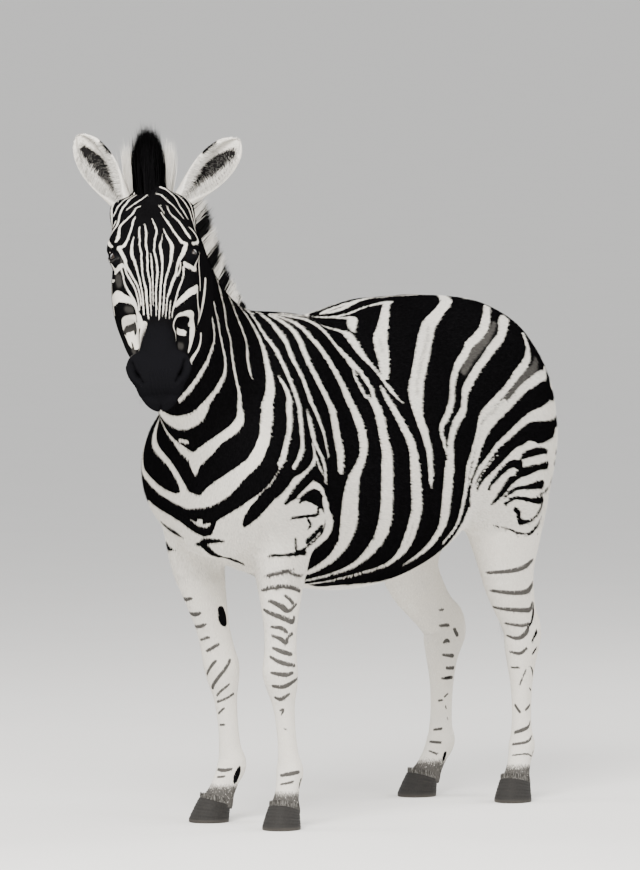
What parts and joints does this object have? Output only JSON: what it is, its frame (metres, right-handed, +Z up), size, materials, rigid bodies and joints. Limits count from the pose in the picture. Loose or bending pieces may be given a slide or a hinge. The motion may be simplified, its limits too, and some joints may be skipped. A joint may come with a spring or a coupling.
{
  "type": "zebra",
  "caption": "Life-size standing zebra for display, head turned to its left, with upright mane and forelock, black stripes on cream, and the tail hanging.",
  "frame": {"origin": "centre of the bounding box in plan, on the plane of the four soles", "axes": "+Z up, the animal faces -Y, +X is its left side"},
  "size_m": [0.5689, 1.8005, 1.7869],
  "materials": {
    "coat": "short matt hair, striped black on cream",
    "long_hair": "coarse upright hair, mostly black",
    "muzzle_skin": "dark bare skin, softly glossy",
    "hoof": "dull dark horn",
    "eye": "wet dark brown"
  },
  "bodies": {
    "root": {"ear_left": "coat", "ear_right": "coat", "eye_left": "eye", "eye_right": "eye", "fore_left_hoof": "hoof", "fore_left_lower": "coat", "fore_left_upper": "coat", "fore_right_hoof": "hoof", "fore_right_lower": "coat", "fore_right_upper": "coat", "forelock": "long_hair", "head": "coat", "hind_left_hoof": "hoof", "hind_left_lower": "coat", "hind_left_upper": "coat", "hind_right_hoof": "hoof", "hind_right_lower": "coat", "hind_right_upper": "coat", "mane": "long_hair", "muzzle": "muzzle_skin", "neck": "coat", "tail_dock": "coat", "tail_tuft": "long_hair", "trunk": "coat"}
  },
  "joints": []
}
